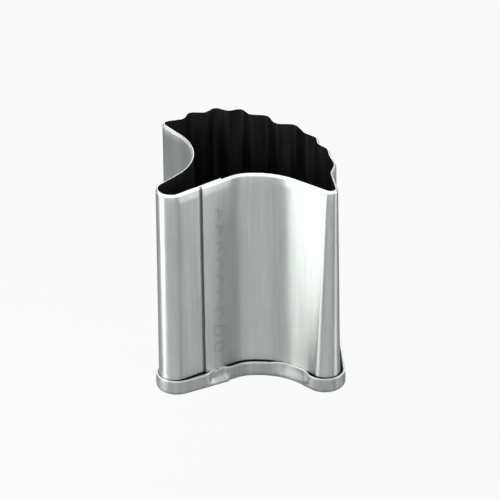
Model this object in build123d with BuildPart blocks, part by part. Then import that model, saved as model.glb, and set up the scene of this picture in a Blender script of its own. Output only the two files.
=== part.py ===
"""Tall shell-shaped cookie cutter: a lapped strip of stainless sheet standing in a rolled base band.

Millimetres, +Z up. The cutter stands on its base band with the cutting edge on top. The plan is seen
from above: the scalloped back is at +Y, the hollow front at -Y, the bite at -X. The origin is the
middle of the base band's outline, on the plane that the band stands on.

Every outline is a counter-clockwise chain of circles joined by the lines that touch them. A circle is
(x, y, radius), with a negative radius where the outline bends inwards. Growing an outline outwards by
some distance adds that distance to every radius, so all the faces of a sheet stay parallel.
"""

import os
from math import asin, atan2, cos, degrees, hypot, pi, sin

from build123d import *

# Main sizes
total_height = 40.0
wall_sheet = 0.4
band_sheet = 0.4

# Cutting edge: the outer face is ground away to a narrow flat
edge_flat = 0.12
edge_height = 0.45

# Plan of the wall's inner face at the cutting edge
tip_circle = (-13.55, 10.05, 0.95)
bite_circle = (-20.45, -0.75, -11.0)
left_lobe_circle = (-13.45, -12.85, 2.35)
belly_left_circle = (0.2, -14.1, -6.2)
belly_right_circle = (0.9, -19.8, -11.9)
right_tip_circle = (14.3, -13.9, 0.9)
notch_circle = (17.2, -8.4, -2.8)

# Scalloped back at the cutting edge: its valleys, from the notch round to the tip, and how far each
# crest stands out from the line between its two valleys
valleys = [
    (14.4, -8.4),
    (14.2, -2.1),
    (12.35, 2.0),
    (10.1, 5.9),
    (5.0, 9.6),
    (0.45, 12.95),
    (-3.35, 14.35),
    (-7.5, 13.85),
    (-11.4, 11.6),
]
crest_rises = [0.7, 0.6, 0.75, 1.35, 1.2, 1.15, 1.2, 1.2]
scallop_roundness = 0.85

# What differs at the wall's foot: the front is shallower and the right tip rounder
foot_belly_drop = 0.6
foot_right_tip_circle = (13.0, -13.0, 2.2)

# Lap of the strip's two ends, on the straight flank at the left of the hollow front
seam_before_belly = 5.9
lap_length = 4.5
lap_gap = 0.02

# Row of spot welds up the lap, and the one that holds the base band to the wall
weld_from_seam = 2.9
seam_weld_count = 9
seam_weld_pitch = 3.3
seam_weld_lowest = 7.2
seam_weld_diameter = 2.7
band_weld_diameter = 1.4
band_weld_below_rim = 0.9
weld_dent = 0.05
band_lap_past_seam = 4.4

# Base band: a U-shaped channel round the wall's foot, open at the top
band_height = 3.0
channel_width = 2.0
band_bottom_radius = 0.95
band_inner_chamfer = 0.7
band_left_lobe_circle = (-13.0, -12.75, 2.1)
band_right_tip_circle = (12.9, -12.85, 2.0)
band_tip_circle = (-12.1, 9.6, 2.0)
band_back_circles = [(-1.6, -4.5, 16.0), (-4.5, 5.8, 9.2)]


def heading(first, second):
    """Direction, in radians, of the line that touches two circles of the chain."""
    (x1, y1, r1), (x2, y2, r2) = first, second
    return atan2(y2 - y1, x2 - x1) - asin((r2 - r1) / hypot(x2 - x1, y2 - y1))


def touch(circle, direction, grow):
    """Point of a grown circle where the outline runs in the given direction."""
    x, y, radius = circle
    reach = radius + grow
    return (x + reach * sin(direction), y - reach * cos(direction))


def halfway(direction_in, direction_out):
    """Direction in the middle of a turn that is less than half round."""
    turn = (direction_out - direction_in + pi) % (2 * pi) - pi
    return direction_in + turn / 2


def corner(circle, direction_in, direction_out, grow):
    """Arc of the outline round one circle, between two directions of travel."""
    directions = direction_in, halfway(direction_in, direction_out), direction_out
    ThreePointArc(*[touch(circle, direction, grow) for direction in directions])


def run(first, second, grow):
    """Line of the outline from one circle to the next. Returns its direction."""
    direction = heading(first, second)
    Line(touch(first, direction, grow), touch(second, direction, grow))
    return direction


def scallops():
    """Circles of the scalloped back between the notch and the tip."""
    chords = []
    for (x1, y1), (x2, y2), rise in zip(valleys, valleys[1:], crest_rises):
        half = hypot(x2 - x1, y2 - y1) / 2
        along = atan2(y2 - y1, x2 - x1)
        radius = scallop_roundness * (half**2 + rise**2) / (4 * rise)
        chords.append((((x1 + x2) / 2, (y1 + y2) / 2), along, rise, radius))

    circles = []
    for index, ((x, y), along, rise, radius) in enumerate(chords):
        inwards = rise - radius
        circles.append((x + inwards * sin(along), y - inwards * cos(along), radius))
        _, next_along, _, next_radius = chords[min(index + 1, len(chords) - 1)]
        facing = halfway(along, next_along)
        hollow = min(radius, next_radius)
        x, y = valleys[index + 1]
        circles.append((x + hollow * sin(facing), y - hollow * cos(facing), -hollow))
    return circles


def moved(circle, along_y):
    """The same circle, further back or further forward."""
    x, y, radius = circle
    return (x, y + along_y, radius)


def wall_circles(belly_drop, right_tip):
    """Chain of the wall's inner face, from the seam round to the left lobe."""
    return [
        moved(belly_left_circle, -belly_drop),
        moved(belly_right_circle, -belly_drop),
        right_tip,
        notch_circle,
        *scallops(),
        tip_circle,
        bite_circle,
        left_lobe_circle,
    ]


def lap_layers(circles):
    """Circles that the lap's outer and inner layers run on to, and the direction of both layers."""
    x, y, radius = circles[0]
    under_layer = (x, y, radius - wall_sheet - lap_gap)
    return circles[0], under_layer, heading(circles[-1], under_layer)


def flank_point(circle, flank, grow, from_seam):
    """Point on the straight flank, a distance past the seam."""
    x, y = touch(circle, flank, grow)
    back = seam_before_belly - from_seam
    return (x - back * cos(flank), y - back * sin(flank))


def strip_face(circles, grow):
    """One face of the strip, from the seam all the way round and in beneath the lap. Returns its ends."""
    outer_layer, under_layer, flank = lap_layers(circles)
    seam_end = flank_point(outer_layer, flank, grow, 0)
    Line(seam_end, touch(outer_layer, flank, grow))
    direction = flank
    for circle, following in zip(circles, circles[1:]):
        corner(circle, direction, heading(circle, following), grow)
        direction = run(circle, following, grow)
    corner(circles[-1], direction, flank, grow)

    hidden_end = flank_point(under_layer, flank, grow, lap_length)
    Line(touch(circles[-1], flank, grow), hidden_end)
    return seam_end, hidden_end


def strip_section(circles, thickness, height):
    """Section of the lapped strip at one height."""
    with BuildSketch(plan_at(height)) as section:
        with BuildLine():
            seam_inside, hidden_inside = strip_face(circles, 0)
            seam_outside, hidden_outside = strip_face(circles, thickness)
            Line(seam_inside, seam_outside)
            Line(hidden_inside, hidden_outside)
        make_face()
    return section.sketch


def closed_outline(circles, grow):
    """Closed chain of circles, grown outwards."""
    neighbours = zip(circles[-1:] + circles[:-1], circles, circles[1:] + circles[:1])
    for before, circle, following in neighbours:
        corner(circle, heading(before, circle), heading(circle, following), grow)
        run(circle, following, grow)


def ring(circles, inner, outer, height):
    """Ring between two grown outlines of the same chain."""
    with BuildSketch(plan_at(height)) as area:
        with BuildLine():
            closed_outline(circles, outer)
        make_face()
        with BuildLine():
            closed_outline(circles, inner)
        make_face(mode=Mode.SUBTRACT)
    return area.sketch


edge_circles = wall_circles(0, right_tip_circle)
foot_circles = wall_circles(foot_belly_drop, foot_right_tip_circle)
band_circles = [
    *foot_circles[:2],
    band_right_tip_circle,
    *band_back_circles,
    band_tip_circle,
    bite_circle,
    band_left_lobe_circle,
]
band_middle = wall_sheet / 2
channel_side = channel_width / 2
band_side = channel_side + band_sheet

# The band's outline in plan gives the origin
with BuildSketch() as band_outline:
    with BuildLine():
        closed_outline(band_circles, band_middle + band_side)
    make_face()
origin_in_plan = band_outline.sketch.bounding_box().center()


def plan_at(height):
    """Plane of the plan at one height, with the part's origin under the middle of the band."""
    return Plane(origin=(-origin_in_plan.X, -origin_in_plan.Y, height))


def weld_plane(height):
    """Plane on the wall's outer face, on the line of the spot welds, looking straight out."""
    ends = []
    for circles, level in ((foot_circles, band_sheet), (edge_circles, total_height - edge_height)):
        outer_layer, _, flank = lap_layers(circles)
        x, y = flank_point(outer_layer, flank, wall_sheet, weld_from_seam)
        ends.append(Vector(x - origin_in_plan.X, y - origin_in_plan.Y, level))
    foot, edge = ends
    along = Vector(cos(flank), sin(flank), 0)
    point = foot + (edge - foot) * ((height - foot.Z) / (edge.Z - foot.Z))
    return Plane(origin=point, x_dir=along, z_dir=along.cross(edge - foot))


def weld_slug(face, diameter, length):
    """Round slug of a spot weld behind a face, pressed in a little by the electrode."""
    with BuildPart() as slug:
        with BuildSketch(face.offset(-weld_dent)):
            Circle(diameter / 2)
        extrude(amount=weld_dent - length)
    return slug.part


lap_thickness = 2 * wall_sheet + lap_gap
weld_heights = [seam_weld_lowest + index * seam_weld_pitch for index in range(seam_weld_count)]

# Wall: one strip of sheet, from the channel's floor up to the ground cutting edge
with BuildPart() as cutting_wall:
    sections = [
        strip_section(foot_circles, wall_sheet, band_sheet),
        strip_section(edge_circles, wall_sheet, total_height - edge_height),
        strip_section(edge_circles, edge_flat, total_height),
    ]
    loft(sections, ruled=True)
    for height in weld_heights:
        with BuildSketch(weld_plane(height)):
            Circle(seam_weld_diameter / 2)
        extrude(amount=lap_thickness, both=True, mode=Mode.SUBTRACT)

# Spot welds that join the strip's two ends
with BuildPart() as seam_spot_welds:
    for height in weld_heights:
        add(weld_slug(weld_plane(height), seam_weld_diameter, lap_thickness))

# Base band: its outside rounded under, and the channel that takes the wall's foot
def band_footprint():
    """The band's ring, with its lapped end standing one sheet out on the straight flank."""
    lapped_circles = [(x, y, radius + band_sheet) for x, y, radius in band_circles[:2]]
    outermost = band_middle + band_side
    outer_layer, _, flank = lap_layers(foot_circles)
    end = flank_point(outer_layer, flank, outermost, band_lap_past_seam)
    with BuildSketch(plan_at(0)) as footprint:
        with BuildLine():
            closed_outline([*lapped_circles, *band_circles[2:]], outermost)
        make_face()
        with Locations(Location((*end, 0), (0, 0, degrees(flank)))):
            Rectangle(total_height, total_height, align=(Align.MAX, Align.CENTER), mode=Mode.INTERSECT)
        with BuildLine():
            closed_outline(band_circles, outermost)
        make_face()
        with BuildLine():
            closed_outline(band_circles, band_middle - band_side)
        make_face(mode=Mode.SUBTRACT)
    return footprint.sketch


band_weld_plane = weld_plane(band_height - band_weld_below_rim)
leg_from_wall = band_middle + band_side + band_sheet - wall_sheet
with BuildPart() as base_band:
    add(band_footprint())
    extrude(amount=band_height)
    underside = base_band.faces().sort_by(Axis.Z)[0]
    fillet(underside.outer_wire().edges(), band_bottom_radius)
    chamfer(underside.inner_wires()[0].edges(), band_inner_chamfer)
    add(ring(band_circles, band_middle - channel_side, band_middle + channel_side, band_sheet))
    extrude(amount=band_height, mode=Mode.SUBTRACT)
    with BuildSketch(band_weld_plane):
        Circle(band_weld_diameter / 2)
    extrude(amount=channel_width, mode=Mode.SUBTRACT)

# Spot weld that holds the band's outer leg to the wall
with BuildPart() as band_spot_weld:
    add(weld_slug(band_weld_plane.offset(leg_from_wall), band_weld_diameter, leg_from_wall))

pieces = {
    "cutting_wall": cutting_wall,
    "seam_spot_welds": seam_spot_welds,
    "base_band": base_band,
    "band_spot_weld": band_spot_weld,
}

os.makedirs("parts", exist_ok=True)
for name, piece in pieces.items():
    piece.part.label = name
    export_step(piece.part, f"parts/{name}.step")
    print(name, "volume", round(piece.part.volume, 2), "mm3")
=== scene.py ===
from math import asin, atan2, cos, hypot, pi, radians, sin

import bmesh
import bpy
from mathutils import Matrix, Vector, noise


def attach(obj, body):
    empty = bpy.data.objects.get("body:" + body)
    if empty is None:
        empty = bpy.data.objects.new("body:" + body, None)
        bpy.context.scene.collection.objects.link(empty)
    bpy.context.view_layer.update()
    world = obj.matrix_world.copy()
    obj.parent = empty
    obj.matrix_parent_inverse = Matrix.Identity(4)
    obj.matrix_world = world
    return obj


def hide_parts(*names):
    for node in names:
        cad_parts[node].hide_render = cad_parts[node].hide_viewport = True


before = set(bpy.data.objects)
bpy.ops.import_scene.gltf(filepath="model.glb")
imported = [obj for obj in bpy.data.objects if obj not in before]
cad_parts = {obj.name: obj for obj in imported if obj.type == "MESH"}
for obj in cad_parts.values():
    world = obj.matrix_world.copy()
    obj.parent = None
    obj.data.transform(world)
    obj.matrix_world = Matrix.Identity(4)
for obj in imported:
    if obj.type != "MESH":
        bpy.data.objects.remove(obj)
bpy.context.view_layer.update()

# Lengths are written in millimetres and brought to metres as each piece is finished
MM = 0.001

# Sizes of the sheet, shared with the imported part
WALL_SHEET = 0.4
BAND_SHEET = 0.4
TOTAL_HEIGHT = 40.0
EDGE_FLAT = 0.12
EDGE_HEIGHT = 0.45
ORIGIN_IN_PLAN = (-0.1, 0.075)

# Plan of the wall's inner face: circles (x, y, radius), the radius negative where it bends inwards
TIP = (-13.55, 10.05, 0.95)
BITE = (-20.45, -0.75, -11.0)
LEFT_LOBE = (-13.45, -12.85, 2.35)
BELLY_LEFT = (0.2, -14.1, -6.2)
BELLY_RIGHT = (0.9, -19.8, -11.9)
RIGHT_TIP = (14.3, -13.9, 0.9)
NOTCH = (17.2, -8.4, -2.8)
VALLEYS = [
    (14.4, -8.4),
    (14.2, -2.1),
    (12.35, 2.0),
    (10.1, 5.9),
    (5.0, 9.6),
    (0.45, 12.95),
    (-3.35, 14.35),
    (-7.5, 13.85),
    (-11.4, 11.6),
]
CREST_RISES = [0.7, 0.6, 0.75, 1.35, 1.2, 1.15, 1.2, 1.2]
SCALLOP_ROUNDNESS = 0.85
FOOT_BELLY_DROP = 0.6
FOOT_RIGHT_TIP = (13.0, -13.0, 2.2)

# Lap of the strip's ends and the spot welds on it
SEAM_BEFORE_BELLY = 5.9
LAP_LENGTH = 4.5
LAP_GAP = 0.02
WELD_FROM_SEAM = 2.9
SEAM_WELD_COUNT = 9
SEAM_WELD_PITCH = 3.3
SEAM_WELD_LOWEST = 7.2
SEAM_WELD_DIAMETER = 2.7
SEAM_WELDS_PRESSED_DEEP = 2
SEAM_WELD_DEEP_RIM = 0.035
SEAM_WELD_RIM = 0.012
BAND_WELD_DIAMETER = 1.4
BAND_WELD_HEIGHT = 2.35
BAND_WELD_FROM_SEAM = 2.1
BAND_WELD_RIM = 0.08
WELD_FLOOR = -0.01
WELD_SKIRT = -0.02

# Base band, a channel of sheet with its lapped end one sheet proud
BAND_HEIGHT = 3.0
BAND_OUTSIDE = 1.6
BAND_INSIDE = -1.2
BAND_BOTTOM_RADIUS = 0.95
BAND_LEFT_LOBE = (-13.0, -12.75, 2.1)
BAND_RIGHT_TIP = (12.9, -12.85, 2.0)
BAND_TIP = (-12.1, 9.6, 2.0)
BAND_BACK = [(-1.6, -4.5, 16.0), (-4.5, 5.8, 9.2)]
BAND_LAP_PAST_SEAM = 3.5
LAP_PROUD_AT_WELD = 0.27
INNER_BOTTOM_RADIUS = 0.7
CHANNEL_CORNER_RADIUS = 0.3
LIP_RADIUS = 0.12
# How far down from the lip the band is painted bright, a painted highlight
PAINTED_HIGHLIGHT_DEPTH = 0.15
LEG_HEIGHTS = [1.3, 1.7, 2.1, 2.5]
# Height below which the wall's face down in the band's channel is painted dark as shade
CREVICE_SHADE_TOP = 2.9

# How many sheets in from the outside the outer leg keeps its plain finish, before the channel's painted
# shade begins
PLAIN_SHEETS = 1.2

# Press of the band's outer leg: its depth, the heights it grows between, its reach to either side of the
# weld, and the depths from the wall's inner face that it takes in
PRESS_DEPTH = 0.8
PRESS_TOP = 1.9
PRESS_FOOT = 0.5
PRESS_BEFORE = 2.6
PRESS_RISE = 2.0
PRESS_AFTER = 2.4
PRESS_FALL = 1.2
PRESS_NEAREST = 1.0
PRESS_FARTHEST = 3.0

# Where the band's leg leans on the wall, as turns round the middle of the belly's right circle
LEAN_NEAREST = 9.9
LEAN_FARTHEST = 11.1
LEAN_START = radians(12)
LEAN_END = radians(60)
LEAN_EASE = radians(12)
LEAN_DEPTH = 0.74

# How finely outlines are drawn, and how far handwork leaves the sheet from true
ARC_STEP = radians(7)
RUN_STEP = 0.45
WALL_ROWS = 23
LIP_STEPS = 2
BOTTOM_STEPS = 7
INNER_BOTTOM_STEPS = 5
CORNER_STEPS = 3
LAP_STEPS = 40
WELD_STEPS = 32
MERGE_DISTANCE = 0.001
SHEET_SHARP = 35
WELD_SHARP = 60
UNEVEN_DEPTH = 0.05
UNEVEN_SPAN = 11.0
UNEVEN_STRETCH = 0.35

# Places of the finishes in the wall's and the band's lists of materials, some of them painted shade or a
# painted highlight
WALL_OUTSIDE, WALL_GROUND, WALL_CUT_SHADE, WALL_PAINTED_SHADE = range(4)
BAND_PLAIN, BAND_PAINTED_HIGHLIGHT, BAND_PAINTED_SHADE = range(3)

# Grain of the rolled sheet: how often each pattern changes along x, y and z in a metre, and what it does
STREAKS = (5200, 5200, 110)
CLOUDS = (330, 330, 120)
THREADS = (1500, 1500, 25)
SCRATCHES = (8000, 320, 320)
SCRATCH_LEAN = radians(40)
GRAIN_SHADE = 0.09
GRAIN_ROUGHNESS = 0.05
GRAIN_BUMP = 0.04
GRAIN_RELIEF = 0.02
ROLLED_UPRIGHT = 0.25

# Stage, world and lamps, in metres and watts: each lamp's name, place, size and power
FLOOR_HALF = 3.0
FLOOR_MATT = 0.38
FLOOR_WHITE = 0.94
GLOW_HORIZON = 0.68
GLOW_OVERHEAD = 0.25
GLOW_FALLS_FROM = 0.1
GLOW_FALLS_TO = 0.8
LAMPS = [
    ("left_softbox", (-0.075, -0.033, 0.046), (0.028, 0.088), 0.05),
    ("right_softbox", (0.45, -0.095, 0.12), (0.05, 0.4), 0.8),
    ("front_softbox", (0.0, -0.45, 0.28), (0.8, 0.2), 1.35),
    ("back_softbox", (0.0, 0.45, 0.30), (0.5, 0.15), 0.7),
]

# The photograph's view: a long lens, 30 degrees up, turned a little about its own axis
VIEW_DISTANCE = 2.5
VIEW_ELEVATION = radians(30)
VIEW_ROLL = radians(-0.9)
VIEW_MIDDLE = (0.21, 0.0, 19.9)
PHOTO_PIXELS = 500
PIXELS_PER_MM = 5.70
SENSOR_WIDTH = 36.0
VIEW_REACH = 10


def heading(first, second):
    """Direction of the line that touches two circles of an outline."""
    (x1, y1, r1), (x2, y2, r2) = first, second
    return atan2(y2 - y1, x2 - x1) - asin((r2 - r1) / hypot(x2 - x1, y2 - y1))


def touch(circle, direction):
    """Point of a circle where the outline runs in the given direction."""
    x, y, radius = circle
    return Vector((x + radius * sin(direction), y - radius * cos(direction), 0))


def turn_between(direction_in, direction_out):
    """Turn from one direction to another, less than half round either way."""
    return (direction_out - direction_in + pi) % (2 * pi) - pi


def scallops():
    """Circles of the scalloped back between the notch and the tip."""
    chords = []
    for (x1, y1), (x2, y2), rise in zip(VALLEYS, VALLEYS[1:], CREST_RISES):
        half = hypot(x2 - x1, y2 - y1) / 2
        along = atan2(y2 - y1, x2 - x1)
        radius = SCALLOP_ROUNDNESS * (half**2 + rise**2) / (4 * rise)
        chords.append((((x1 + x2) / 2, (y1 + y2) / 2), along, rise, radius))

    circles = []
    for index, ((x, y), along, rise, radius) in enumerate(chords):
        inwards = rise - radius
        circles.append((x + inwards * sin(along), y - inwards * cos(along), radius))
        _, next_along, _, next_radius = chords[min(index + 1, len(chords) - 1)]
        facing = along + turn_between(along, next_along) / 2
        hollow = min(radius, next_radius)
        x, y = VALLEYS[index + 1]
        circles.append((x + hollow * sin(facing), y - hollow * cos(facing), -hollow))
    return circles


def wall_circles(belly_drop, right_tip):
    """Outline of the wall's inner face, from the seam round to the left lobe."""
    belly = [(x, y - belly_drop, radius) for x, y, radius in (BELLY_LEFT, BELLY_RIGHT)]
    return [*belly, right_tip, NOTCH, *scallops(), TIP, BITE, LEFT_LOBE]


def swing(circle, direction_in, direction_out):
    """Move of an outline round one circle, in the words of the spin operator."""
    x, y, _ = circle
    angle = turn_between(direction_in, direction_out)
    steps = max(2, round(abs(angle) / ARC_STEP))
    return {"cent": (x, y, 0), "dvec": (0, 0, 0), "angle": angle, "steps": steps}


def run(start, end):
    """Straight move of an outline, in the words of the spin operator."""
    steps = max(1, round((end - start).length / RUN_STEP))
    return {"cent": (0, 0, 0), "dvec": (end - start) / steps, "angle": 0, "steps": steps}


def alike(moves, pattern):
    """The same moves, with as many steps as another outline's."""
    fitted = []
    for move, model in zip(moves, pattern):
        stretch = move["steps"] / model["steps"]
        dvec = Vector(move["dvec"]) * stretch
        fitted.append({**move, "steps": model["steps"], "dvec": dvec})
    return fitted


def flank_of(circles):
    """Direction of the straight flank that carries the lap."""
    return heading(circles[-1], under_circle(circles))


def under_circle(circles):
    """Circle that the lap's inner layer runs on to."""
    x, y, radius = circles[0]
    return (x, y, radius - WALL_SHEET - LAP_GAP)


def past_seam(circle, flank, distance):
    """Point on the straight flank, a distance past the seam."""
    along = Vector((cos(flank), sin(flank), 0))
    return touch(circle, flank) + along * (distance - SEAM_BEFORE_BELLY)


def strip_path(circles):
    """Path of the strip's inner face, from the seam all the way round and in beneath the lap."""
    flank = flank_of(circles)
    start = past_seam(circles[0], flank, 0)
    moves = [run(start, touch(circles[0], flank))]
    direction = flank
    for circle, following in zip(circles, circles[1:]):
        next_direction = heading(circle, following)
        moves.append(swing(circle, direction, next_direction))
        moves.append(run(touch(circle, next_direction), touch(following, next_direction)))
        direction = next_direction
    moves.append(swing(circles[-1], direction, flank))
    hidden_end = past_seam(under_circle(circles), flank, LAP_LENGTH)
    moves.append(run(touch(circles[-1], flank), hidden_end))
    return start, flank, moves


def ring_path(circles):
    """Path of a closed outline, starting where it touches the first circle."""
    direction = heading(circles[-1], circles[0])
    start = touch(circles[0], direction)
    moves = []
    for circle, following in zip(circles, circles[1:] + circles[:1]):
        next_direction = heading(circle, following)
        moves.append(swing(circle, direction, next_direction))
        moves.append(run(touch(circle, next_direction), touch(following, next_direction)))
        direction = next_direction
    return start, heading(circles[-1], circles[0]), moves


def trace(form, path, grow, height):
    """Draws a path, grown outwards, at one height. Returns its edges."""
    start, direction, moves = path
    known = set(form.edges)
    outwards = Vector((sin(direction), -cos(direction), 0))
    place = start + outwards * grow + Vector((0, 0, height))
    vertex = bmesh.ops.create_vert(form, co=place)["vert"][0]
    for move in moves:
        vertex = bmesh.ops.spin(form, geom=[vertex], axis=(0, 0, 1), **move)["geom_last"][0]
    return [edge for edge in form.edges if edge not in known]


def trace_ring(form, path, grow, height):
    """Draws a closed path and joins its end to its start."""
    known = set(form.verts)
    trace(form, path, grow, height)
    drawn = [vertex for vertex in form.verts if vertex not in known]
    bmesh.ops.remove_doubles(form, verts=drawn, dist=MERGE_DISTANCE)
    left = [vertex for vertex in form.verts if vertex not in known]
    return list({edge for vertex in left for edge in vertex.link_edges})


def skin(form, draw, section, finishes):
    """Closed skin through a section's points, one row of edges each, and the finish of each strip of it.

    The rows are bridged while they are stacked one above the other, then brought to their own heights.
    """
    rows = [draw(form, *path_and_grow, index) for index, (*path_and_grow, _) in enumerate(section)]
    for row, next_row, finish in zip(rows, rows[1:] + rows[:1], finishes):
        for face in bmesh.ops.bridge_loops(form, edges=row + next_row)["faces"]:
            face.material_index = finish
    for vertex in form.verts:
        vertex.co.z = section[round(vertex.co.z)][-1]


def finish_piece(form, name, materials, node, sharp=SHEET_SHARP):
    """Moves a form to the part's origin, in metres, and makes it a piece of the root body."""
    x, y = ORIGIN_IN_PLAN
    bmesh.ops.translate(form, vec=(-x, -y, 0), verts=form.verts)
    bmesh.ops.scale(form, vec=(MM, MM, MM), verts=form.verts)
    bmesh.ops.recalc_face_normals(form, faces=form.faces)
    mesh = bpy.data.meshes.new(name)
    form.to_mesh(mesh)
    form.free()
    mesh.shade_smooth()
    mesh.set_sharp_from_angle(angle=radians(sharp))
    for material in materials:
        mesh.materials.append(material)
    piece = bpy.data.objects.new(name, mesh)
    bpy.context.scene.collection.objects.link(piece)
    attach(piece, "root")
    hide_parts(node)
    return piece


def leave_uneven(form):
    """Lets the sheet wander a little from true, both faces of it together."""
    for vertex in form.verts:
        x, y, z = vertex.co / UNEVEN_SPAN
        wander = noise.noise_vector(Vector((x, y, z * UNEVEN_STRETCH)))
        vertex.co.x += wander.x * UNEVEN_DEPTH
        vertex.co.y += wander.y * UNEVEN_DEPTH


edge_circles = wall_circles(0, RIGHT_TIP)
foot_circles = wall_circles(FOOT_BELLY_DROP, FOOT_RIGHT_TIP)
band_circles = [*foot_circles[:2], BAND_RIGHT_TIP, *BAND_BACK, BAND_TIP, BITE, BAND_LEFT_LOBE]
foot_flank = flank_of(foot_circles)
edge_flank = flank_of(edge_circles)


def noise_texture(nodes, coordinates, scale, detail, lean=0.0):
    """Noise read from stretched object coordinates, leaning in the plane that faces the front."""
    mapping = nodes.new("ShaderNodeMapping")
    mapping.inputs["Rotation"].default_value = (0, lean, 0)
    mapping.inputs["Scale"].default_value = scale
    texture = nodes.new("ShaderNodeTexNoise")
    texture.inputs["Scale"].default_value = 1.0
    texture.inputs["Detail"].default_value = detail
    links = mapping.id_data.links
    links.new(coordinates, mapping.inputs["Vector"])
    links.new(mapping.outputs["Vector"], texture.inputs["Vector"])
    return texture.outputs["Fac"]


def spread(nodes, value, low, high, start=0.3, stop=0.7):
    """Brings a noise value, most of it between 0.3 and 0.7, to a range of its own."""
    ramp = nodes.new("ShaderNodeMapRange")
    ramp.inputs["From Min"].default_value = start
    ramp.inputs["From Max"].default_value = stop
    ramp.inputs["To Min"].default_value = low
    ramp.inputs["To Max"].default_value = high
    ramp.id_data.links.new(value, ramp.inputs["Value"])
    return ramp.outputs["Result"]


def rolled_sheet_group():
    """Grain of rolled sheet: fine upright streaks, broad clouding, and a few stray scratches."""
    group = bpy.data.node_groups.new("rolled_sheet", "ShaderNodeTree")
    given = {"Tone": "NodeSocketColor", "Grain": "NodeSocketFloat"}
    made = {"Color": "NodeSocketColor", "Roughness": "NodeSocketFloat", "Height": "NodeSocketFloat"}
    for name, kind in given.items():
        group.interface.new_socket(name, in_out="INPUT", socket_type=kind)
    for name, kind in made.items():
        group.interface.new_socket(name, in_out="OUTPUT", socket_type=kind)
    nodes = group.nodes
    links = group.links
    entry = nodes.new("NodeGroupInput")
    result = nodes.new("NodeGroupOutput")
    coordinates = nodes.new("ShaderNodeTexCoord").outputs["Object"]

    streaks = noise_texture(nodes, coordinates, STREAKS, detail=4)
    clouds = noise_texture(nodes, coordinates, CLOUDS, detail=3)
    threads = noise_texture(nodes, coordinates, THREADS, detail=2)
    scratches = noise_texture(nodes, coordinates, SCRATCHES, detail=0, lean=SCRATCH_LEAN)
    scratch = spread(nodes, scratches, 0, 1.2, start=0.74, stop=0.8)

    mixed = nodes.new("ShaderNodeMath")
    mixed.operation = "ADD"
    links.new(spread(nodes, streaks, -0.5, 0.5), mixed.inputs[0])
    links.new(spread(nodes, threads, -0.5, 0.5), mixed.inputs[1])
    marked = nodes.new("ShaderNodeMath")
    links.new(mixed.outputs[0], marked.inputs[0])
    links.new(scratch, marked.inputs[1])
    grain = nodes.new("ShaderNodeMath")
    grain.operation = "MULTIPLY"
    links.new(marked.outputs[0], grain.inputs[0])
    links.new(entry.outputs["Grain"], grain.inputs[1])

    shade = nodes.new("ShaderNodeMath")
    shade.operation = "MULTIPLY_ADD"
    shade.inputs[1].default_value = GRAIN_SHADE
    links.new(grain.outputs[0], shade.inputs[0])
    links.new(spread(nodes, clouds, 0.96, 1.03), shade.inputs[2])
    tint = nodes.new("ShaderNodeVectorMath")
    tint.operation = "SCALE"
    links.new(entry.outputs["Tone"], tint.inputs[0])
    links.new(shade.outputs[0], tint.inputs["Scale"])
    links.new(tint.outputs[0], result.inputs["Color"])

    rough = nodes.new("ShaderNodeMath")
    rough.operation = "MULTIPLY_ADD"
    rough.inputs[1].default_value = GRAIN_ROUGHNESS
    links.new(grain.outputs[0], rough.inputs[0])
    links.new(spread(nodes, clouds, 0.47, 0.53), rough.inputs[2])
    links.new(rough.outputs[0], result.inputs["Roughness"])
    links.new(grain.outputs[0], result.inputs["Height"])
    return group


rolled_sheet = rolled_sheet_group()


def steel(name, tone, grain, anisotropy):
    """Stainless sheet whose reflections are drawn out upright by the rolling."""
    material = bpy.data.materials.new(name)
    material.use_nodes = True
    nodes = material.node_tree.nodes
    links = material.node_tree.links
    shader = nodes["Principled BSDF"]
    shader.inputs["Metallic"].default_value = 1.0
    shader.inputs["Anisotropic"].default_value = anisotropy
    shader.inputs["Anisotropic Rotation"].default_value = ROLLED_UPRIGHT
    sheet = nodes.new("ShaderNodeGroup")
    sheet.node_tree = rolled_sheet
    sheet.inputs["Tone"].default_value = (*tone, 1.0)
    sheet.inputs["Grain"].default_value = grain
    relief = nodes.new("ShaderNodeBump")
    relief.inputs["Strength"].default_value = GRAIN_BUMP
    relief.inputs["Distance"].default_value = GRAIN_RELIEF * MM
    links.new(sheet.outputs["Color"], shader.inputs["Base Color"])
    links.new(sheet.outputs["Roughness"], shader.inputs["Roughness"])
    links.new(sheet.outputs["Height"], relief.inputs["Height"])
    links.new(relief.outputs["Normal"], shader.inputs["Normal"])
    return material


wall_steel = steel("wall_steel", (0.62, 0.65, 0.63), 1.0, 0.85)
# Bright steel of the wall's ground edge; on the band's lips the same steel is a painted highlight
ground_and_highlight_steel = steel("ground_edge_and_painted_highlight_steel", (0.86, 0.88, 0.87), 0.5, 0.2)
# Sheared edge of the sheet, painted dark as the shade in the seam's step
cut_edge_shade_steel = steel("cut_edge_painted_shade_steel", (0.20, 0.215, 0.205), 0.6, 0.0)
# Near-black steel painted on as shade, for the wall's inside and down in the band's channel
painted_shade_steel = steel("shaded_steel", (0.045, 0.050, 0.047), 2.0, 0.3)
band_steel = steel("band_steel", (0.55, 0.58, 0.56), 1.2, 0.6)
weld_steel = steel("weld_steel", (0.56, 0.59, 0.57), 0.8, 0.3)


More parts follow.
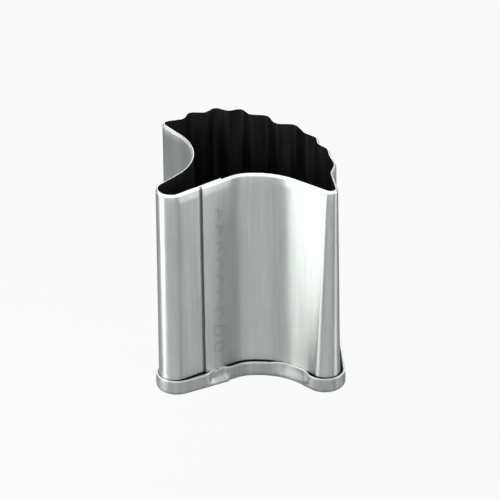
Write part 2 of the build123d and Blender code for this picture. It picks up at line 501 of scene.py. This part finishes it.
def build_wall():
    """The lapped strip, its rim ground down on the outside to a narrow flat."""
    form = bmesh.new()
    edge_path = strip_path(edge_circles)
    *_, edge_moves = edge_path
    start, direction, moves = strip_path(foot_circles)
    foot_path = start, direction, alike(moves, edge_moves)
    knee = TOTAL_HEIGHT - EDGE_HEIGHT
    section = [
        (foot_path, WALL_SHEET, BAND_SHEET),
        (edge_path, WALL_SHEET, knee),
        (edge_path, EDGE_FLAT, TOTAL_HEIGHT),
        (edge_path, 0, TOTAL_HEIGHT),
        (foot_path, 0, BAND_SHEET),
    ]
    # The wall's inner faces take the near-black painted shade
    skin(form, trace, section, [WALL_OUTSIDE, WALL_GROUND, WALL_GROUND, WALL_PAINTED_SHADE, WALL_PAINTED_SHADE])
    upright = [edge for edge in form.edges if abs(edge.verts[0].co.z - edge.verts[1].co.z) > knee / 2]
    bmesh.ops.subdivide_edges(form, edges=upright, cuts=WALL_ROWS, use_grid_fill=True)
    everything = [*form.verts, *form.edges, *form.faces]
    # Below the crevice height the wall, down in the band's channel, is painted dark as shade
    bmesh.ops.bisect_plane(form, geom=everything, plane_co=(0, 0, CREVICE_SHADE_TOP), plane_no=(0, 0, 1))
    for face in form.faces:
        if face.calc_center_median().z < CREVICE_SHADE_TOP:
            face.material_index = WALL_PAINTED_SHADE
    # The strip's sheared ends take the dark cut finish, painted shade in the seam's step
    for face in bmesh.ops.holes_fill(form, edges=form.edges)["faces"]:
        face.material_index = WALL_CUT_SHADE
    leave_uneven(form)
    finishes = [wall_steel, ground_and_highlight_steel, cut_edge_shade_steel, painted_shade_steel]
    return finish_piece(form, "cutting_wall", finishes, "cutting_wall")


def arc_points(x, z, radius, first, last, count):
    """Points of a section's rounded corner, from one angle to another."""
    angles = [radians(first + (last - first) * index / count) for index in range(count + 1)]
    return [(x + radius * cos(angle), z + radius * sin(angle)) for angle in angles]


def press_leg(form):
    """Presses the band's outer leg in to the wall at its spot weld.

    Known fault: left of the weld the leg's inner face lies nearer than PRESS_NEAREST and isn't moved, so
    the outer face passes through it.
    """
    outwards = Vector((sin(foot_flank), -cos(foot_flank), 0))
    along = Vector((cos(foot_flank), sin(foot_flank), 0))
    weld = past_seam(foot_circles[0], foot_flank, BAND_WELD_FROM_SEAM)
    for vertex in form.verts:
        off = vertex.co - weld
        depth = off.dot(outwards)
        if not PRESS_NEAREST < depth < PRESS_FARTHEST:
            continue
        share = pressed(off.dot(along))
        height = (vertex.co.z - PRESS_FOOT) / (PRESS_TOP - PRESS_FOOT)
        vertex.co -= outwards * PRESS_DEPTH * share * smooth(height)


def lean_leg(form):
    """Leans the band's outer leg against the wall along the right half of the hollow front."""
    x, y, _ = foot_circles[1]
    centre = Vector((x, y, 0))
    for vertex in form.verts:
        off = vertex.co - centre
        height = off.z / BAND_HEIGHT
        off.z = 0
        if not LEAN_NEAREST < off.length < LEAN_FARTHEST:
            continue
        turn = atan2(off.x, off.y)
        share = smooth((turn - LEAN_START) / LEAN_EASE) * smooth((LEAN_END - turn) / LEAN_EASE)
        vertex.co += off.normalized() * LEAN_DEPTH * share * smooth(height)


def smooth(value):
    """Eases from 0 to 1."""
    value = min(max(value, 0), 1)
    return value * value * (3 - 2 * value)


def pressed(along):
    """How far the leg is pressed in, by the distance along the flank from the weld."""
    rise = smooth((along + PRESS_BEFORE) / PRESS_RISE)
    fall = smooth((PRESS_AFTER - along) / PRESS_FALL)
    return rise * fall


def band_finishes(section):
    """Finish of each strip of the band: a painted highlight on the lips, painted shade down in the
    channel, plain outside.
    """
    finishes = []
    for (grow, height), (next_grow, next_height) in zip(section, section[1:] + section[:1]):
        across = (grow + next_grow) / 2
        in_channel = BAND_INSIDE + BAND_SHEET / 2 < across < BAND_OUTSIDE - BAND_SHEET * PLAIN_SHEETS
        # Lips get a painted highlight; strips down in the channel get painted shade
        if min(height, next_height) >= BAND_HEIGHT - PAINTED_HIGHLIGHT_DEPTH:
            finishes.append(BAND_PAINTED_HIGHLIGHT)
        elif in_channel and max(height, next_height) > 0:
            finishes.append(BAND_PAINTED_SHADE)
        else:
            finishes.append(BAND_PLAIN)
    return finishes


def outer_face():
    """Section of the outer leg's outer face, from its lip down and round the bottom."""
    radius = BAND_BOTTOM_RADIUS
    return [
        *arc_points(BAND_OUTSIDE - LIP_RADIUS, BAND_HEIGHT - LIP_RADIUS, LIP_RADIUS, 90, 0, LIP_STEPS),
        *[(BAND_OUTSIDE, height) for height in reversed(LEG_HEIGHTS)],
        *arc_points(BAND_OUTSIDE - radius, radius, radius, 0, -90, BOTTOM_STEPS),
    ]


def inner_face(heights):
    """Section of the outer leg's inner face, up to its lip."""
    face = BAND_OUTSIDE - BAND_SHEET
    return [
        *[(face, height) for height in heights],
        *arc_points(face + LIP_RADIUS, BAND_HEIGHT - LIP_RADIUS, LIP_RADIUS, 180, 90, LIP_STEPS),
    ]


def channel_section():
    """Section of the band: a channel of sheet, open upwards."""
    inside = BAND_INSIDE
    lip = LIP_RADIUS
    bottom = INNER_BOTTOM_RADIUS
    corner = CHANNEL_CORNER_RADIUS
    floor = BAND_SHEET + corner
    return [
        *outer_face(),
        *arc_points(inside + bottom, bottom, bottom, -90, -180, INNER_BOTTOM_STEPS),
        *arc_points(inside + lip, BAND_HEIGHT - lip, lip, 180, 90, LIP_STEPS),
        *arc_points(inside + BAND_SHEET - lip, BAND_HEIGHT - lip, lip, 90, 0, LIP_STEPS),
        *arc_points(inside + BAND_SHEET + corner, floor, corner, 180, 270, CORNER_STEPS),
        *arc_points(BAND_OUTSIDE - BAND_SHEET - corner, floor, corner, 270, 360, CORNER_STEPS),
        *inner_face(LEG_HEIGHTS[:3]),
    ]


def lap_section():
    """Section of the lapped end: the outer leg alone, rounded in beneath the band."""
    radius = BAND_BOTTOM_RADIUS
    return [
        *outer_face(),
        *arc_points(BAND_OUTSIDE - radius, radius, radius - BAND_SHEET, -90, 0, INNER_BOTTOM_STEPS),
        *inner_face(LEG_HEIGHTS[1:3]),
    ]


def build_lapped_end(form):
    """Adds the band's lapped end, coming off the left lobe on to the flank."""
    x, y, radius = foot_circles[0]
    proud = (x, y, radius + BAND_SHEET)
    direction = heading(BAND_LEFT_LOBE, proud)
    start = touch(BAND_LEFT_LOBE, direction)
    end = past_seam(proud, direction, BAND_LAP_PAST_SEAM)
    fine_run = {"cent": (0, 0, 0), "dvec": (end - start) / LAP_STEPS, "angle": 0, "steps": LAP_STEPS}
    path = start, direction, [fine_run]
    section = lap_section()
    rows = [(path, grow, height) for grow, height in section]
    lap = bmesh.new()
    skin(lap, trace, rows, band_finishes(section))
    bmesh.ops.holes_fill(lap, edges=lap.edges)
    press_leg(lap)
    mesh = bpy.data.meshes.new("lapped_end")
    lap.to_mesh(mesh)
    lap.free()
    form.from_mesh(mesh)
    bpy.data.meshes.remove(mesh)


def build_band():
    """The channel round the wall's foot, with its lapped end."""
    form = bmesh.new()
    path = ring_path(band_circles)
    section = channel_section()
    rows = [(path, grow, height) for grow, height in section]
    skin(form, trace_ring, rows, band_finishes(section))
    press_leg(form)
    lean_leg(form)
    build_lapped_end(form)
    finishes = [band_steel, ground_and_highlight_steel, painted_shade_steel]
    return finish_piece(form, "base_band", finishes, "base_band")


def weld_mark(form, place, outwards, radius, through, rim):
    """One spot weld: a shallow dish with a soft rim on each face of the lap."""
    profile = [
        (0, WELD_FLOOR),
        (0.4, WELD_FLOOR),
        (0.66, 0.3 * rim),
        (0.8, rim),
        (0.9, 0.6 * rim),
        (1.0, WELD_SKIRT),
    ]
    upright = Vector((0, 0, 1))
    known = set(form.verts)
    front = [upright * reach * radius + outwards * rise for reach, rise in profile]
    back = [upright * reach * radius - outwards * (through + rise) for reach, rise in reversed(profile)]
    vertices = [bmesh.ops.create_vert(form, co=place + point)["vert"][0] for point in front + back]
    edges = [form.edges.new(pair) for pair in zip(vertices, vertices[1:])]
    bmesh.ops.spin(
        form,
        geom=vertices + edges,
        cent=place,
        axis=outwards,
        dvec=(0, 0, 0),
        angle=2 * pi,
        steps=WELD_STEPS,
        use_merge=True,
    )
    made = [vertex for vertex in form.verts if vertex not in known]
    bmesh.ops.remove_doubles(form, verts=made, dist=MERGE_DISTANCE)


def weld_place(height, from_seam):
    """Point of the wall's outer face at a spot weld, and the way it faces."""
    share = (height - BAND_SHEET) / (TOTAL_HEIGHT - EDGE_HEIGHT - BAND_SHEET)
    foot = past_seam(foot_circles[0], foot_flank, from_seam)
    edge = past_seam(edge_circles[0], edge_flank, from_seam)
    outwards = Vector((sin(foot_flank), -cos(foot_flank), 0))
    place = foot.lerp(edge, share) + outwards * WALL_SHEET
    place.z = height
    return place, outwards


def build_seam_welds():
    """Row of spot welds that joins the strip's two ends."""
    form = bmesh.new()
    through = 2 * WALL_SHEET + LAP_GAP
    for index in range(SEAM_WELD_COUNT):
        place, outwards = weld_place(SEAM_WELD_LOWEST + index * SEAM_WELD_PITCH, WELD_FROM_SEAM)
        rim = SEAM_WELD_DEEP_RIM if index < SEAM_WELDS_PRESSED_DEEP else SEAM_WELD_RIM
        weld_mark(form, place, outwards, SEAM_WELD_DIAMETER / 2, through, rim)
    leave_uneven(form)
    return finish_piece(form, "seam_spot_welds", [weld_steel], "seam_spot_welds", WELD_SHARP)


def build_band_weld():
    """Spot weld on the band's pressed leg."""
    form = bmesh.new()
    place, outwards = weld_place(BAND_WELD_HEIGHT, BAND_WELD_FROM_SEAM)
    reach = BAND_OUTSIDE + LAP_PROUD_AT_WELD - WALL_SHEET - PRESS_DEPTH
    weld_mark(form, place + outwards * reach, outwards, BAND_WELD_DIAMETER / 2, reach, BAND_WELD_RIM)
    return finish_piece(form, "band_spot_weld", [weld_steel], "band_spot_weld", WELD_SHARP)


def shade_floor():
    """Floor material: white to the camera but for a breath of shadow, plain matt to the light."""
    material = bpy.data.materials.new("floor_white")
    material.use_nodes = True
    nodes = material.node_tree.nodes
    links = material.node_tree.links
    nodes.clear()
    output = nodes.new("ShaderNodeOutputMaterial")
    matt = nodes.new("ShaderNodeBsdfDiffuse")
    matt.inputs["Color"].default_value = (FLOOR_MATT, FLOOR_MATT, FLOOR_MATT, 1)
    white = nodes.new("ShaderNodeEmission")
    white.inputs["Color"].default_value = (1, 1, 1, 1)
    rays = nodes.new("ShaderNodeLightPath")
    share = nodes.new("ShaderNodeMath")
    share.operation = "MULTIPLY"
    share.inputs[1].default_value = FLOOR_WHITE
    mixed = nodes.new("ShaderNodeMixShader")
    links.new(rays.outputs["Is Camera Ray"], share.inputs[0])
    links.new(share.outputs[0], mixed.inputs["Fac"])
    links.new(matt.outputs[0], mixed.inputs[1])
    links.new(white.outputs[0], mixed.inputs[2])
    links.new(mixed.outputs[0], output.inputs["Surface"])
    return material


def build_stage():
    """Pale floor that stays white to the camera, keeping the cutter's shadow."""
    form = bmesh.new()
    bmesh.ops.create_grid(form, x_segments=1, y_segments=1, size=FLOOR_HALF)
    mesh = bpy.data.meshes.new("floor")
    form.to_mesh(mesh)
    form.free()
    mesh.materials.append(shade_floor())
    floor = bpy.data.objects.new("floor", mesh)
    bpy.context.scene.collection.objects.link(floor)


def light_world():
    """White to the camera. To the metal, bright round the horizon and dark overhead."""
    world = bpy.data.worlds.new("studio")
    bpy.context.scene.world = world
    world.use_nodes = True
    nodes = world.node_tree.nodes
    links = world.node_tree.links
    background = nodes["Background"]
    rays = nodes.new("ShaderNodeLightPath")
    direction = nodes.new("ShaderNodeTexCoord")
    split = nodes.new("ShaderNodeSeparateXYZ")
    overhead = nodes.new("ShaderNodeMapRange")
    overhead.inputs["From Min"].default_value = GLOW_FALLS_FROM
    overhead.inputs["From Max"].default_value = GLOW_FALLS_TO
    overhead.inputs["To Min"].default_value = GLOW_HORIZON
    overhead.inputs["To Max"].default_value = GLOW_OVERHEAD
    strength = nodes.new("ShaderNodeMix")
    strength.inputs["B"].default_value = 1.0
    links.new(direction.outputs["Generated"], split.inputs[0])
    links.new(split.outputs["Z"], overhead.inputs["Value"])
    links.new(rays.outputs["Is Camera Ray"], strength.inputs["Factor"])
    links.new(overhead.outputs["Result"], strength.inputs["A"])
    links.new(strength.outputs["Result"], background.inputs["Strength"])
    background.inputs["Color"].default_value = (1, 1, 1, 1)


def add_lamp(name, place, size, power):
    """Soft rectangular lamp that faces the middle of the cutter."""
    light = bpy.data.lights.new(name, "AREA")
    light.shape = "RECTANGLE"
    light.size, light.size_y = size
    light.energy = power
    lamp = bpy.data.objects.new(name, light)
    lamp.location = place
    target = Vector((0, 0, TOTAL_HEIGHT * MM / 2))
    lamp.rotation_euler = (target - lamp.location).to_track_quat("-Z", "Y").to_euler()
    lamp.visible_camera = False
    bpy.context.scene.collection.objects.link(lamp)


def place_camera():
    """Camera of the photograph's view."""
    lens = bpy.data.cameras.new("camera")
    width = PHOTO_PIXELS / PIXELS_PER_MM * MM
    lens.sensor_width = SENSOR_WIDTH
    lens.lens = SENSOR_WIDTH * VIEW_DISTANCE / width
    lens.clip_end = VIEW_REACH
    camera = bpy.data.objects.new("camera", lens)
    turn = Matrix.Rotation(pi / 2 - VIEW_ELEVATION, 4, "X") @ Matrix.Rotation(VIEW_ROLL, 4, "Z")
    middle = Vector(VIEW_MIDDLE) * MM
    camera.matrix_world = Matrix.Translation(middle) @ turn @ Matrix.Translation((0, 0, VIEW_DISTANCE))
    bpy.context.scene.collection.objects.link(camera)
    bpy.context.scene.camera = camera


build_wall()
build_band()
build_seam_welds()
build_band_weld()
build_stage()
light_world()
for lamp_values in LAMPS:
    add_lamp(*lamp_values)
place_camera()
bpy.context.scene.view_settings.view_transform = "Standard"
